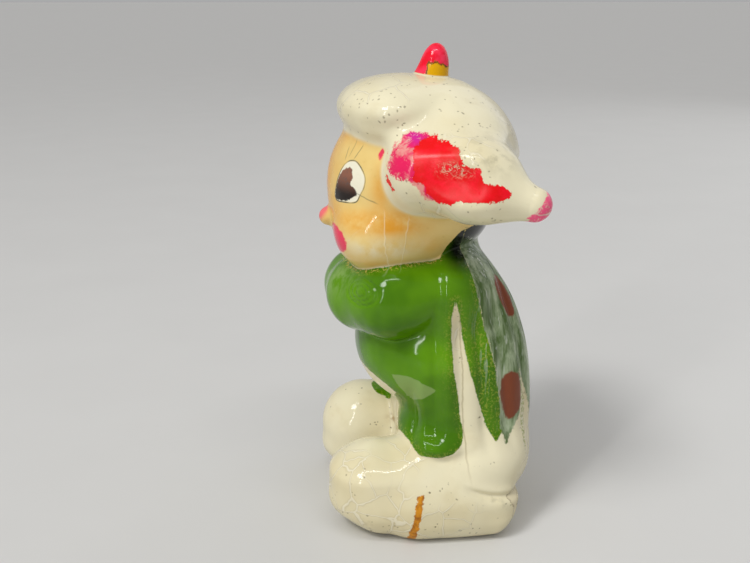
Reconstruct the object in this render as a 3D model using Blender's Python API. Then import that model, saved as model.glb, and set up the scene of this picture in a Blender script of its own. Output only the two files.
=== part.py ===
"""Seated pixie shaker: a hollow glazed ceramic figure with a stopper in its base.

The figure is modelled as the pieces a potter joins before glazing: torso, head, cap, ears, arms,
wings, legs, nose and antenna. Lengths below are in millimetres. The figure stands on z = 0 and
faces -Y, and its left side is +X.
"""

import math

import bmesh
import bpy
from mathutils import Matrix, Vector

MM = 0.001
SEAM = 0.3  # clearance between neighbouring pieces
SET_BACK = 1.0  # moves the figure so that its box is centred on the origin
VOXEL = 1.3  # grain of the clay before it is thinned to its triangle budget
HALF_GAP = SEAM / 2  # how far a left piece stays from the figure's middle plane
FAR = 120.0  # longer than the figure

FILL_CENTRE_Y = 4.0
FILL_RADIUS = 7.5
STOPPER_RECESS = 1.2  # how far the stopper's face lies above the floor
STOPPER_LENGTH = 9.0
STOPPER_TAPER = 0.6  # how much smaller its inner end is in radius
POUR_RADIUS = 1.1
POUR_ANGLES = (34, 50, 66)  # degrees above the horizontal, on the back of the cap
HEAD_CENTRE = (0, -3.2, 64)
BRIM_Z = 71.0  # height of the cap's edge above the figure's centre
BRIM_SLOPE = 13.2  # degrees by which the edge falls towards the back
EAR_SWEEP = 28  # degrees by which the ears turn outwards


# ---------------------------------------------------------------- primitives


def ball(centre, radii, tilt=0, segments=32):
    """An ellipsoid; tilt leans its top towards the front, in degrees."""
    mesh = bmesh.new()
    bmesh.ops.create_uvsphere(mesh, u_segments=segments, v_segments=segments // 2, radius=1)
    place = Matrix.Translation(Vector(centre))
    lean = Matrix.Rotation(math.radians(tilt), 4, "X")
    mesh.transform(place @ lean @ Matrix.Diagonal((*radii, 1)))
    return mesh


def hull(*spheres):
    """The smooth body stretched over spheres, each given as (centre, radius)."""
    points = bmesh.new()
    for centre, radius in spheres:
        place = Matrix.Translation(Vector(centre))
        bmesh.ops.create_icosphere(points, subdivisions=3, radius=radius, matrix=place)
    mesh = bmesh.new()
    for point in points.verts:
        mesh.verts.new(point.co)
    points.free()
    skin = bmesh.ops.convex_hull(mesh, input=mesh.verts)
    inside = [part for part in skin["geom_interior"] if isinstance(part, bmesh.types.BMVert)]
    bmesh.ops.delete(mesh, geom=inside, context="VERTS")
    return mesh


def slab(low, high, round_off):
    """A box from corner low to corner high with edges of radius round_off."""
    corners = [
        ((x, y, z), round_off)
        for x in (low[0] + round_off, high[0] - round_off)
        for y in (low[1] + round_off, high[1] - round_off)
        for z in (low[2] + round_off, high[2] - round_off)
    ]
    return hull(*corners)


def box(low, high):
    mesh = bmesh.new()
    size = Vector(high) - Vector(low)
    middle = (Vector(high) + Vector(low)) / 2
    bmesh.ops.create_cube(mesh, matrix=Matrix.Translation(middle) @ Matrix.Diagonal((*size, 1)))
    return mesh


def cone(start, end, start_radius, end_radius, sides=32):
    """A round bar or cone between two points."""
    mesh = bmesh.new()
    run = Vector(end) - Vector(start)
    turn = run.to_track_quat("Z", "Y").to_matrix().to_4x4()
    place = Matrix.Translation((Vector(start) + Vector(end)) / 2) @ turn
    bmesh.ops.create_cone(
        mesh,
        cap_ends=True,
        segments=sides,
        radius1=start_radius,
        radius2=end_radius,
        depth=run.length,
        matrix=place,
    )
    return mesh


# ---------------------------------------------------------------- objects


def new_object(name, shapes):
    """One object holding all the shapes, scaled from millimetres to metres."""
    joined = bmesh.new()
    for shape in shapes:
        spare = bpy.data.meshes.new("spare")
        shape.to_mesh(spare)
        shape.free()
        joined.from_mesh(spare)
        bpy.data.meshes.remove(spare)
    joined.transform(Matrix.Scale(MM, 4))
    bmesh.ops.recalc_face_normals(joined, faces=joined.faces)
    mesh = bpy.data.meshes.new(name)
    joined.to_mesh(mesh)
    joined.free()
    piece = bpy.data.objects.new(name, mesh)
    bpy.context.scene.collection.objects.link(piece)
    return piece


def apply_modifiers(piece):
    graph = bpy.context.evaluated_depsgraph_get()
    mesh = bpy.data.meshes.new_from_object(piece.evaluated_get(graph))
    piece.modifiers.clear()
    old = piece.data
    piece.data = mesh
    bpy.data.meshes.remove(old)
    mesh.name = piece.name


def clay(name, shapes, triangles):
    """The shapes merged into one body with soft joins, thinned to about this many triangles."""
    piece = new_object(name, shapes)
    remesh = piece.modifiers.new("merge", "REMESH")
    remesh.mode = "VOXEL"
    remesh.voxel_size = VOXEL * MM
    soften = piece.modifiers.new("soften", "SMOOTH")
    soften.factor = 0.5
    soften.iterations = 6
    apply_modifiers(piece)
    thin = piece.modifiers.new("thin", "DECIMATE")
    thin.ratio = triangles / (2 * len(piece.data.polygons))
    apply_modifiers(piece)
    return piece


def hide_cutter(cutter):
    cutter.hide_render = True
    cutter.display_type = "WIRE"


def cut(piece, *cutters):
    for cutter in cutters:
        hide_cutter(cutter)
        trim = piece.modifiers.new("trim", "BOOLEAN")
        trim.operation = "DIFFERENCE"
        trim.object = cutter
    apply_modifiers(piece)


def grown(piece):
    """A cutter of the piece's shape, larger by the seam's clearance."""
    cutter = bpy.data.objects.new(piece.name + "_clearance", piece.data.copy())
    bpy.context.scene.collection.objects.link(cutter)
    swell = cutter.modifiers.new("swell", "DISPLACE")
    swell.mid_level = 0
    swell.strength = SEAM * MM
    apply_modifiers(cutter)
    hide_cutter(cutter)
    return cutter


def mirrored(piece, name):
    """The right-hand copy of a left-hand piece."""
    mesh = piece.data.copy()
    mesh.transform(Matrix.Scale(-1, 4, Vector((1, 0, 0))))
    mesh.flip_normals()
    copy = bpy.data.objects.new(name, mesh)
    bpy.context.scene.collection.objects.link(copy)
    return copy


def glaze(pieces, name, colour, roughness=0.15):
    material = bpy.data.materials.new(name)
    material.use_nodes = True
    surface = material.node_tree.nodes["Principled BSDF"]
    surface.inputs["Base Color"].default_value = (*colour, 1)
    surface.inputs["Roughness"].default_value = roughness
    surface.inputs["Metallic"].default_value = 0
    for piece in pieces:
        piece.data.materials.clear()
        piece.data.materials.append(material)


# ---------------------------------------------------------------- the clay pieces


def make_torso():
    return clay(
        "torso",
        [
            ball((0, -0.7, 33.5), (15.5, 13.4, 12.5)),
            ball((0, 1.5, 43), (14.5, 8.5, 9.0)),
            ball((10, 3.8, 22.5), (8.6, 7, 8.6)),
            ball((-10, 3.8, 22.5), (8.6, 7, 8.6)),
            slab((-13, -6, -4), (13, 15, 24), 5),
        ],
        1000,
    )


def make_head():
    return clay(
        "head",
        [
            ball(HEAD_CENTRE, (17, 16, 15.6)),
            ball((0, -7.4, 56), (12.5, 11, 9.3)),
            ball((8, -9.7, 57), (8, 8, 7)),
            ball((-8, -9.7, 57), (8, 8, 7)),
            ball((0, 3.3, 54), (9.5, 8, 8)),
        ],
        900,
    )


def make_cap():
    return clay(
        "cap",
        [
            ball((0, -0.6, 69), (18.2, 17.0, 14.8)),
            ball((0, -7.9, 78), (15.5, 9.3, 5.4)),
        ],
        650,
    )


def make_ear():
    return clay(
        "left_ear",
        [
            hull(((16.5, -3.5, 68.2), 6.3), ((21.5, 4.5, 67.4), 5.7)),
            hull(((21.5, 4.5, 66.8), 4.8), ((26.3, 13.5, 65), 2)),
        ],
        380,
    )


def make_arm():
    return clay(
        "left_arm",
        [
            hull(((12, 1, 46.8), 5.4), ((10.5, -8, 44.8), 6.6)),
            hull(((10.5, -8, 44.8), 6.6), ((3.6, -12.4, 43.7), 7.2), ((-3, -12.4, 43.7), 7.2)),
        ],
        420,
    )


def make_leg():
    return clay(
        "left_leg",
        [
            hull(((11.3, -11.4, 10.2), 8.9), ((11, 5, 8.6), 8.9)),
            slab((0, -11.8, -3), (19.9, 14.8, 9), 4.5),
            ball((10, 3.5, 4.5), (11.2, 12.6, 7.5)),
        ],
        560,
    )


def make_wing():
    return clay(
        "left_wing",
        [
            ball((7, 7.4, 29), (10.9, 11.2, 24), tilt=8),
            ball((8.6, 9.6, 13), (9.4, 8.6, 10)),
        ],
        500,
    )


def make_chamber():
    """The hollow inside the figure: seat, belly, neck and head in one passage."""
    chamber = new_object(
        "chamber",
        [
            cone((0, FILL_CENTRE_Y, 6), (0, FILL_CENTRE_Y, 24), 8.5, 8.5),
            ball((0, 0.5, 32), (11.5, 9.5, 12)),
            cone((0, 2, 36), (0, 1.5, 60), 5, 5),
            ball((0, -3.2, 63.5), (13.5, 12.5, 12)),
        ],
    )
    merge = chamber.modifiers.new("merge", "REMESH")
    merge.mode = "VOXEL"
    merge.voxel_size = VOXEL * MM
    thin = chamber.modifiers.new("thin", "DECIMATE")
    thin.ratio = 0.1
    apply_modifiers(chamber)
    return chamber


def make_fill_hole():
    return cone((0, FILL_CENTRE_Y, -5), (0, FILL_CENTRE_Y, 12), FILL_RADIUS, FILL_RADIUS)


def make_under_brim():
    """Everything below the slanting plane that ends the cap."""
    below = box((-FAR, -FAR, -FAR), (FAR, FAR, 0))
    below.transform(Matrix.Rotation(math.radians(-BRIM_SLOPE), 4, "X"))
    below.transform(Matrix.Translation(Vector((0, 0, BRIM_Z))))
    return new_object("under_brim", [below])


def make_ear_hollow():
    hollow = ball((0, 0, 0), (5, 9.5, 4.6), segments=20)
    hollow.transform(Matrix.Rotation(math.radians(-EAR_SWEEP), 4, "Z"))
    hollow.transform(Matrix.Translation(Vector((26, -0.5, 69.6))))
    return new_object("ear_hollow", [hollow])


def make_pour_holes():
    middle = Vector(HEAD_CENTRE)
    holes = []
    for angle in POUR_ANGLES:
        away = Vector((0, math.cos(math.radians(angle)), math.sin(math.radians(angle))))
        holes.append(cone(middle + 10 * away, middle + 30 * away, POUR_RADIUS, POUR_RADIUS, 10))
    return new_object("pour_holes", holes)


def make_nose():
    return new_object("nose", [ball((0, -19.5, 57.8), (1.9, 1.8, 1.8), segments=16)])


def make_antenna():
    return clay("antenna", [hull(((0, 0, 84.1), 3.4), ((0, 0.8, 86.9), 2.3))], 160)


def make_stopper():
    stopper = new_object(
        "stopper",
        [
            cone(
                (0, 0, 0),
                (0, 0, STOPPER_LENGTH),
                FILL_RADIUS - SEAM,
                FILL_RADIUS - SEAM - STOPPER_TAPER,
            )
        ],
    )
    edge = stopper.modifiers.new("edge", "BEVEL")
    edge.width = 0.5 * MM
    edge.segments = 1
    apply_modifiers(stopper)
    stopper.location = Vector((0, FILL_CENTRE_Y, STOPPER_RECESS)) * MM
    return stopper


# ---------------------------------------------------------------- assembly


def build():
    below_floor = new_object("below_floor", [box((-FAR, -FAR, -FAR), (FAR, FAR, 0))])
    right_half = new_object("right_half", [box((-FAR, -FAR, -FAR), (HALF_GAP, FAR, FAR))])
    fill_hole = new_object("fill_hole", [make_fill_hole()])
    chamber = make_chamber()
    pour_holes = make_pour_holes()

    torso = make_torso()
    around_torso = grown(torso)
    head = make_head()
    around_head = grown(head)
    cap = make_cap()
    cut(cap, make_under_brim())
    around_cap = grown(cap)
    ear = make_ear()
    arm = make_arm()
    around_arm = grown(arm)
    leg = make_leg()
    around_leg = grown(leg)
    wing = make_wing()
    nose = make_nose()
    antenna = make_antenna()

    cut(torso, chamber, fill_hole, below_floor)
    cut(head, around_torso, chamber, pour_holes)
    cut(cap, around_head, pour_holes)
    cut(ear, around_head, around_cap, make_ear_hollow())
    cut(arm, around_torso, around_head, right_half)
    cut(leg, around_torso, right_half, below_floor)
    cut(wing, around_torso, around_head, around_arm, around_leg, right_half)
    cut(nose, around_head)
    cut(antenna, around_cap)

    right_ear = mirrored(ear, "right_ear")
    right_arm = mirrored(arm, "right_arm")
    right_leg = mirrored(leg, "right_leg")
    right_wing = mirrored(wing, "right_wing")
    stopper = make_stopper()

    glaze([torso, arm, right_arm], "green_glaze", (0.07, 0.22, 0.01))
    glaze([head], "flesh_glaze", (0.86, 0.58, 0.27))
    glaze([cap, ear, right_ear, leg, right_leg], "cream_glaze", (0.77, 0.72, 0.52))
    glaze([wing, right_wing], "dark_green_glaze", (0.05, 0.12, 0.04))
    glaze([nose], "pink_paint", (0.8, 0.2, 0.2))
    glaze([antenna], "red_paint", (0.6, 0.01, 0.03), 0.3)
    glaze([stopper], "cork", (0.45, 0.28, 0.14), 0.8)
    ears_and_arms = [ear, right_ear, arm, right_arm]
    legs_and_wings = [leg, right_leg, wing, right_wing]
    return [torso, head, cap, nose, antenna, stopper, *ears_and_arms, *legs_and_wings]


for old in list(bpy.data.objects):
    bpy.data.objects.remove(old, do_unlink=True)

figure = bpy.data.objects.new("figure", None)
figure.location = (0, SET_BACK * MM, 0)
bpy.context.scene.collection.objects.link(figure)
for part in build():
    part.parent = figure
    part.data.shade_smooth()
    part.data.set_sharp_from_angle(angle=math.radians(40))
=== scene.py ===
"""The looks of the glazed pixie shaker: its fired shells, its paint, its cork and a small studio.

The pixie is shaped in its own millimetres: +X is its left, it faces -Y and +Z is up. One smooth blend of
balls, bars and slabs gives the whole casting, so the glaze runs on without a seam. It is then divided into
the CAD model's shells, each a closed skin. The paint is drawn as outlines in flat charts of the surface, and
every corner of the mesh carries its distance in millimetres to the edge of each painted area.
"""

import math

import bpy
import numpy as np
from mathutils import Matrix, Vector


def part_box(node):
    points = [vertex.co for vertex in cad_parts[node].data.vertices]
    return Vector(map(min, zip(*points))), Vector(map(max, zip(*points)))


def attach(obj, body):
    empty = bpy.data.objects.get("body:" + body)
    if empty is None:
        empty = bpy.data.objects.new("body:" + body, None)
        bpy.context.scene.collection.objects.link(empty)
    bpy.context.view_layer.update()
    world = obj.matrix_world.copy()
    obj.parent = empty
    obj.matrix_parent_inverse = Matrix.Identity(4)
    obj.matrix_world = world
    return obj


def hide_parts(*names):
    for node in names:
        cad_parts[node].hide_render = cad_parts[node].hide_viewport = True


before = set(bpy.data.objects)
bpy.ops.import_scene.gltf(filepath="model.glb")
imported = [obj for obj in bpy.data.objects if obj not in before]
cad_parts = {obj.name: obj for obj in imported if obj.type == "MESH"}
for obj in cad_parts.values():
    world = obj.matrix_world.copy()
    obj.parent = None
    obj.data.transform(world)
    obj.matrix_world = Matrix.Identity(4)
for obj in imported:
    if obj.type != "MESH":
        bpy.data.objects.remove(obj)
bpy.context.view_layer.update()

MM = 0.001

# ---------------------------------------------------------------- driving sizes, in millimetres

FINE_STEP = 0.36
STEP = FINE_STEP

plug_low, plug_high = (np.array(corner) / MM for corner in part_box("stopper"))
PLUG_RADIUS = (plug_high[0] - plug_low[0]) / 2
PLUG_MIDDLE = (plug_low + plug_high) / 2
HOLE_BACK = 4.0  # how far behind the pixie's own middle its filling hole is
ORIGIN = np.array([0.0, PLUG_MIDDLE[1] - HOLE_BACK, 0.0])  # the pixie's own middle in the shared frame
CORK_GAP = 0.3  # room left round the cork
HOLE_RADIUS = PLUG_RADIUS + CORK_GAP
LOW = (-31.0, -24.0, -1.8)  # the lowest corner of the space that is meshed
HIGH = (31.0, 23.0, 91.0)  # its highest corner
SKIN = 0.8  # thickness of each shell's skin
WALL = 2.6  # clay left between the outside and the chamber over the filling hole
CHAMBER_MIDDLE = 14.5  # height of that chamber's middle
CHAMBER_HALF = 11.5  # half of its height
POUR_RADIUS = 1.1
POUR_ANGLES = (34, 50, 66)  # the pouring holes down the cap's back, in degrees above the horizontal
POUR_START, POUR_END = 14, 24  # how far from the head's middle each pouring hole runs
HEAD_MIDDLE = (0.0, -3.2, 64.0)
FOOT_SUNK = 2.4  # how much lower the left foot's top was pressed than the right one's

# ---------------------------------------------------------------- solid shapes, as distances in millimetres


def turned(points, centre, degrees_z=0, degrees_x=0):
    """The points in the frame of a shape that is turned about its own centre."""
    local = points - np.array(centre, np.float32)
    for degrees, first, second in ((degrees_z, 0, 1), (degrees_x, 1, 2)):
        if degrees:
            c, s = math.cos(math.radians(degrees)), math.sin(math.radians(degrees))
            a, b = local[..., first].copy(), local[..., second].copy()
            local[..., first], local[..., second] = c * a + s * b, c * b - s * a
    return local


def ball(points, centre, radii, degrees_z=0, degrees_x=0):
    """A ball or an egg, turned about its middle. The distance is nearly true close to its surface."""
    local = turned(points, centre, degrees_z, degrees_x) / np.array(radii, np.float32)
    far = np.sqrt((local**2).sum(-1))
    steep = np.sqrt(((local / np.array(radii, np.float32)) ** 2).sum(-1))
    return far * (far - 1) / np.maximum(steep, 1e-6)


def bar(points, start, end, start_radius, end_radius):
    """A bar with round ends whose radius changes evenly."""
    start, end = np.array(start, np.float32), np.array(end, np.float32)
    run = end - start
    along = np.clip(((points - start) @ run) / float(run @ run), 0, 1)
    gap = points - start - along[..., None] * run
    return np.sqrt((gap**2).sum(-1)) - (start_radius + (end_radius - start_radius) * along)


def slab(points, centre, half, radius):
    """A box with round edges."""
    over = np.abs(points - np.array(centre, np.float32)) - (np.array(half, np.float32) - radius)
    return np.sqrt((np.maximum(over, 0) ** 2).sum(-1)) + np.minimum(over.max(-1), 0) - radius


def join(a, b, soft):
    """Both shapes in one, with a fillet of about that softness between them."""
    blend = np.maximum(soft - np.abs(a - b), 0) / soft
    return np.minimum(a, b) - blend * blend * soft / 4


def carve(a, b, soft):
    """What is left of a once b is taken away."""
    return -join(-a, b, soft)


def ramp(values, low, high):
    """0 below low, 1 above high, smooth between."""
    t = np.clip((values - low) / (high - low), 0, 1)
    return t * t * (3 - 2 * t)


def around(points, middle_y):
    """Degrees round an upright axis at x = 0: -90 at the front, 0 at either side and 90 at the back."""
    return np.degrees(np.arctan2(points[..., 1] - middle_y, np.maximum(np.abs(points[..., 0]), 1e-3)))


# ---------------------------------------------------------------- the figure's parts

# Each shape is worked out at q, the points mirrored onto the pixie's left side.

BODY_MIDDLE_Y = 2.0  # where the upright axis of the body's folds and paint stands
FOLD_WIDTH = 3.2  # degrees
FOLDS = (  # each fold's top and bottom, in degrees and height, and its depth
    ((-27, 29), (-25, 16), 0.4),
    ((-19, 31), (-17, 16), -0.35),
    ((-12, 44), (-9, 18), 0.35),
    ((-5, 51), (-2, 20), -0.4),
    ((2, 45), (7, 14), 0.45),
    ((13, 45), (20, 16), 0.5),
    ((24, 47), (34, 17), 0.5),
    ((38, 49), (49, 18), 0.5),
    ((53, 49), (63, 17), 0.45),
    ((68, 47), (78, 18), 0.4),
    ((90, 52), (90, 8), 1.4),
)


def head_shape(q):
    d = ball(q, (0, -3.2, 64), (17, 16, 15.6))
    d = join(d, ball(q, (0, -6.7, 55.7), (12.8, 11, 9.6)), 4)
    return join(d, ball(q, (7.4, -10.3, 56.5), (8, 8, 7.3)), 2.5)


def nose_shape(q):
    return ball(q, (0, -18.9, 57.9), (2, 1.9, 1.8))


def cap_shape(q):
    d = ball(q, (0, -1.3, 68.2), (18.4, 17.8, 15.4))
    below_rim = 67.4 - 0.235 * (q[..., 1] - 16) - q[..., 2]
    d = carve(d, -below_rim, 3)
    d = carve(d, q[..., 1] + 15.2, 3)
    return join(d, ball(q, (0, -7.9, 78), (15.7, 9.3, 5.5)), 2.5)


def ear_shape(q):
    d = bar(q, (16.5, -3.6, 68.6), (21.3, 4.5, 67.9), 6.4, 6.2)
    d = join(d, bar(q, (21.3, 4.5, 67.0), (26.0, 13.0, 64.8), 5.6, 2.9), 4)
    d = join(d, bar(q, (13.0, 5.0, 70.5), (20.5, 7.5, 68.0), 4.2, 4.2), 3)
    return carve(d, ball(q, (29.1, -1.5, 69.4), (4.8, 9.6, 5.1), -26, -12), 2)


def arm_shape(q):
    """The arm and its share of the muff of hands, rounded off where left and right meet."""
    q = np.concatenate([np.sqrt(q[..., :1] ** 2 + 4), q[..., 1:]], -1)
    d = bar(q, (12.5, 1.5, 46.5), (10.8, -8, 44.6), 5.4, 6.6)
    return join(d, bar(q, (10.8, -8, 44.6), (3.6, -12.6, 43.6), 6.6, 7.2), 4)


def torso_shape(q):
    d = ball(q, (0, -0.7, 33.5), (16.6, 13.4, 12.5))
    d = join(d, ball(q, (0, 1.5, 43.5), (15.4, 8.6, 9.4)), 4)
    d = join(d, bar(q, (8, 2, 31), (10.4, 4.6, 19), 8.6, 7), 4)
    d = join(d, ball(q, (11, 0.4, 17.4), (8.2, 6.0, 3.2)), 2.5)
    d = join(d, slab(q, (0, 4.5, 12), (13, 10.5, 12), 6), 4)
    return join(d, ball(q, (0, 2.2, 52.5), (9.2, 7.0, 8)), 3)


def leg_shape(q):
    d = bar(q, (11.3, -11.5, 10.6), (12.4, 5.5, 8.6), 8.7, 8.9)
    sole = ball(q, (11.5, -8.6, 6.0), (8.8, 11.6, 6.0))
    d = join(d, join(sole, slab(q, (11.4, -4, 5.7), (8.8, 12, 5.7), 5.6), 2), 2)
    heel = slab(q, (11.0, 3.2, 5.6), (10.9, 12.0, 6.2), 5.2)
    heel = carve(heel, 0.8 * (11.9 + 0.7 * q[..., 2] - q[..., 1]), 2.5)
    return join(d, heel, 3)


def wing_shape(q):
    d = ball(q, (7.3, 7.4, 29), (10.6, 11.2, 24), 0, 8)
    return join(d, ball(q, (10, 9.6, 13.4), (9.9, 8.7, 8.6)), 3)


def folds(points):
    """How deep the wings' folds, their lower edge and the fingers are pressed in, below zero where raised."""
    turn, height = around(points, BODY_MIDDLE_Y), points[..., 2]
    depth = 0
    for (top_turn, top), (bottom_turn, bottom), deepest in FOLDS:
        part = (height - bottom) / (top - bottom)
        off = (turn - bottom_turn - (top_turn - bottom_turn) * part) / FOLD_WIDTH
        fade = ramp(part, -0.1, 0.25) * (1 - ramp(part, 0.8, 1.1))
        depth = depth + deepest * np.exp(-off * off) * fade
    hem = 8.3 + 4.5 * np.exp(-turn / 12)
    depth = depth + 0.8 * np.exp(-(((height - hem) / 0.75) ** 2)) * ramp(turn, 2, 14)
    finger = np.hypot((turn + 50) * 0.2, height - 47)
    for reach in (0.8, 1.5, 2.2):
        depth = depth + 0.24 * np.exp(-(((finger - reach) / 0.24) ** 2))
    return depth


def antenna_shape(q):
    d = ball(q, (0, 0.4, 84.4), (2.7, 2.7, 4.8), 0, -8)
    return join(d, ball(q, (0, -0.5, 82.8), (3, 2.8, 2.4)), 1.5)


PARTS = {  # part: its shape, the material slot of its CAD node and whether it comes as a left and a right
    "head": (head_shape, "flesh_glaze", False),
    "nose": (nose_shape, "pink_paint", False),
    "cap": (cap_shape, "cream_glaze", False),
    "antenna": (antenna_shape, "red_paint", False),
    "torso": (torso_shape, "green_glaze", False),
    "ear": (ear_shape, "cream_glaze", True),
    "arm": (arm_shape, "green_glaze", True),
    "wing": (wing_shape, "dark_green_glaze", True),
    "leg": (leg_shape, "cream_glaze", True),
}


def mirrored(points):
    return np.concatenate([np.abs(points[..., :1]), points[..., 1:]], -1)


def part_distances(points):
    q = mirrored(points)
    return {name: shape(q) for name, (shape, _, _) in PARTS.items()}


def drilled(outside, points):
    """The casting with its filling hole, the chamber above it and the three pouring holes."""
    x, y, z = (points[..., axis] for axis in range(3))
    hole = np.maximum(np.hypot(x, y - HOLE_BACK) - HOLE_RADIUS, z - PLUG_MIDDLE[2])
    chamber = np.maximum(outside + WALL, np.abs(z - CHAMBER_MIDDLE) - CHAMBER_HALF)
    d = carve(outside, join(hole, chamber, 0.5), 0.8)
    middle = np.array(HEAD_MIDDLE)
    for angle in POUR_ANGLES:
        away = np.array([0, math.cos(math.radians(angle)), math.sin(math.radians(angle))])
        start, end = middle + POUR_START * away, middle + POUR_END * away
        d = carve(d, bar(points, start, end, POUR_RADIUS, POUR_RADIUS), 0.4)
    return d


def casting(points):
    """Signed distance to the whole fired figure, softly blended where clay meets clay."""
    d = part_distances(points)
    y, z = points[..., 1], points[..., 2]
    head = join(join(d["head"], d["nose"], 0.8), d["cap"], 2.2)
    head = join(head, d["ear"], 3.5 + 5.5 * ramp(z, 66.5, 71.5) * ramp(y, -5, 3))
    body = join(d["torso"], d["leg"] + sunk(points), 1.0)
    body = join(body, d["wing"], 0.8 + 3.2 * ramp(z, 8, 16))
    body = join(body, d["arm"], 0.6 + 6 * ramp(y, -4, 3)) + folds(points)
    whole = join(join(head, body, 0.6), d["antenna"], 0.5)
    return drilled(carve(whole, z, 0.8) + ripple(points), points)


def sunk(points):
    """How far the top of the left foot was pressed in, fading out towards its sole and its heel."""
    x, y, z = (points[..., axis] for axis in range(3))
    return FOOT_SUNK * ramp(x, 1, 5) * ramp(z, 11.5, 17) * ramp(-y, 2, 10)


def ripple(points):
    """The slight unevenness of a hand-glazed surface."""
    x, y, z = (points[..., axis] for axis in range(3))
    broad = np.sin(0.6 * x + 0.4 * z) * np.sin(0.5 * y - 0.5 * z)
    return 0.03 * broad + 0.012 * np.sin(1.3 * y + 0.9 * z + x)


# ---------------------------------------------------------------- meshing

BLOCK = 4  # grid steps on each side of the blocks that are first looked at roughly
BLOCK_REACH = 1.6  # block sides from its middle within which a surface makes a block worth a finer look
FITTING_ROUNDS = 2  # how often the corners are moved onto the surface
VOTING_ROUNDS = 8  # how often a face takes the part that most of its neighbours have


def grid_of(field, low, high, step):
    """The field on a regular grid, worked out finely only in the blocks that its surface may cross."""
    wide = BLOCK * step
    counts = [math.ceil((b - a) / wide) for a, b in zip(low, high)]
    middles = [a + wide * (np.arange(n) + 0.5 - 0.5 / BLOCK) for a, n in zip(low, counts)]
    grid = field(np.stack(np.meshgrid(*middles, indexing="ij"), -1).astype(np.float32))
    for axis in range(3):
        grid = grid.repeat(BLOCK, axis)
    near = np.abs(grid) < BLOCK_REACH * wide
    grid[near] = field((np.argwhere(near) * step + low).astype(np.float32))
    return grid


def net_of(grid, low, step):
    """One corner for each grid cell the surface crosses, and the four-sided faces between them."""
    strides = np.array([grid.shape[1] * grid.shape[2], grid.shape[2], 1])
    rings, crossings = [], []
    inner = grid[1:-1, 1:-1, 1:-1]
    for axis in range(3):
        ahead = np.roll(grid, -1, axis)[1:-1, 1:-1, 1:-1]
        nodes = np.argwhere((inner < 0) != (ahead < 0))
        a, b = inner[tuple(nodes.T)], ahead[tuple(nodes.T)]
        nodes = nodes + 1
        point = nodes.astype(float)
        point[:, axis] += a / (a - b)
        home = nodes @ strides
        u, v = strides[(axis + 1) % 3], strides[(axis + 2) % 3]
        ring = np.stack([home - u - v, home - v, home, home - u], 1)
        ring[a >= 0] = ring[a >= 0][:, ::-1]
        rings.append(ring)
        crossings.append(point)
    rings, crossings = np.concatenate(rings), np.concatenate(crossings)
    cells, faces = np.unique(rings, return_inverse=True)
    faces = faces.reshape(-1, 4)
    shares = np.bincount(faces.ravel(), minlength=len(cells))
    corners = np.empty((len(cells), 3))
    for axis in range(3):
        weights = crossings[:, axis].repeat(4)
        corners[:, axis] = np.bincount(faces.ravel(), weights=weights, minlength=len(cells)) / shares
    return corners * step + low, faces


def slope(field, points, reach=0.05):
    """The field's gradient at the points."""
    result = np.empty(points.shape)
    for axis in range(3):
        offset = np.zeros(3)
        offset[axis] = reach
        ahead, behind = (field((points + side * offset).astype(np.float32)) for side in (1, -1))
        result[:, axis] = (ahead - behind) / (2 * reach)
    return result


def surface_of(field, low, high, step):
    """Corners on the field's zero surface, their outward normals and the faces between them."""
    corners, faces = net_of(grid_of(field, low, high, step), low, step)
    for _ in range(FITTING_ROUNDS):
        steep = slope(field, corners)
        gap = np.clip(field(corners.astype(np.float32)), -step, step)
        corners -= (gap / np.maximum((steep**2).sum(1), 0.2))[:, None] * steep
    steep = slope(field, corners)
    return corners, steep / np.maximum(np.linalg.norm(steep, axis=1), 1e-6)[:, None], faces


def part_of_faces(corners, faces):
    """The name of the shell that each face belongs to, with stray faces given to what surrounds them."""
    names = list(PARTS)
    middles = corners[faces].mean(1)
    distances = part_distances(middles.astype(np.float32))
    nearest = np.argmin(np.stack([distances[name] for name in names], -1), -1)
    for _ in range(VOTING_ROUNDS):
        votes = np.zeros((len(corners), len(names)), np.int16)
        for corner in range(4):
            np.add.at(votes, (faces[:, corner], nearest), 1)
        nearest = votes[faces].sum(1).argmax(-1)
    paired = np.array([PARTS[name][2] for name in names])[nearest]
    return np.array(names)[nearest], np.where(paired, np.sign(middles[:, 0]), 0)


def added(name, data):
    """A new object in the scene, holding this mesh, light or camera."""
    thing = bpy.data.objects.new(name, data)
    bpy.context.scene.collection.objects.link(thing)
    return thing


def mesh_from(name, corners, normals, faces, marks):
    """A smooth object in metres whose corners carry the marks as named numbers."""
    mesh = bpy.data.meshes.new(name)
    mesh.from_pydata((corners + ORIGIN) * MM, [], faces.tolist())
    for mark, values in marks.items():
        numbers = mesh.attributes.new(mark, "FLOAT", "POINT").data
        numbers.foreach_set("value", values.astype(np.float32))
    mesh.shade_smooth()
    mesh.normals_split_custom_set_from_vertices(normals)
    return added(name, mesh)


def shell(name, corners, normals, faces, marks):
    """A closed skin: the outer faces, the same ones further in, and a rim between their edges."""
    used, faces = np.unique(faces, return_inverse=True)
    faces = faces.reshape(-1, 4)
    count = len(used)
    edges = np.concatenate([faces[:, [k, (k + 1) % 4]] for k in range(4)])
    keys = np.sort(edges, 1) @ (count, 1)
    _, first, uses = np.unique(keys, return_index=True, return_counts=True)
    open_edges = edges[first[uses == 1]]
    rim = np.concatenate([open_edges[:, ::-1], open_edges + count], 1)
    skin = np.concatenate([faces, faces[:, ::-1] + count, rim])
    outside, outward = corners[used], normals[used]
    return mesh_from(
        name,
        np.concatenate([outside, outside - SKIN * outward]),
        np.concatenate([outward, -outward]),
        skin,
        {mark: np.tile(values[used], 2) for mark, values in marks.items()},
    )


# ---------------------------------------------------------------- painted outlines

DEGREE = 0.28  # millimetres along the surface for each degree round it
FAR = 5.0  # millimetres beyond which a distance to an edge doesn't matter

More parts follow.
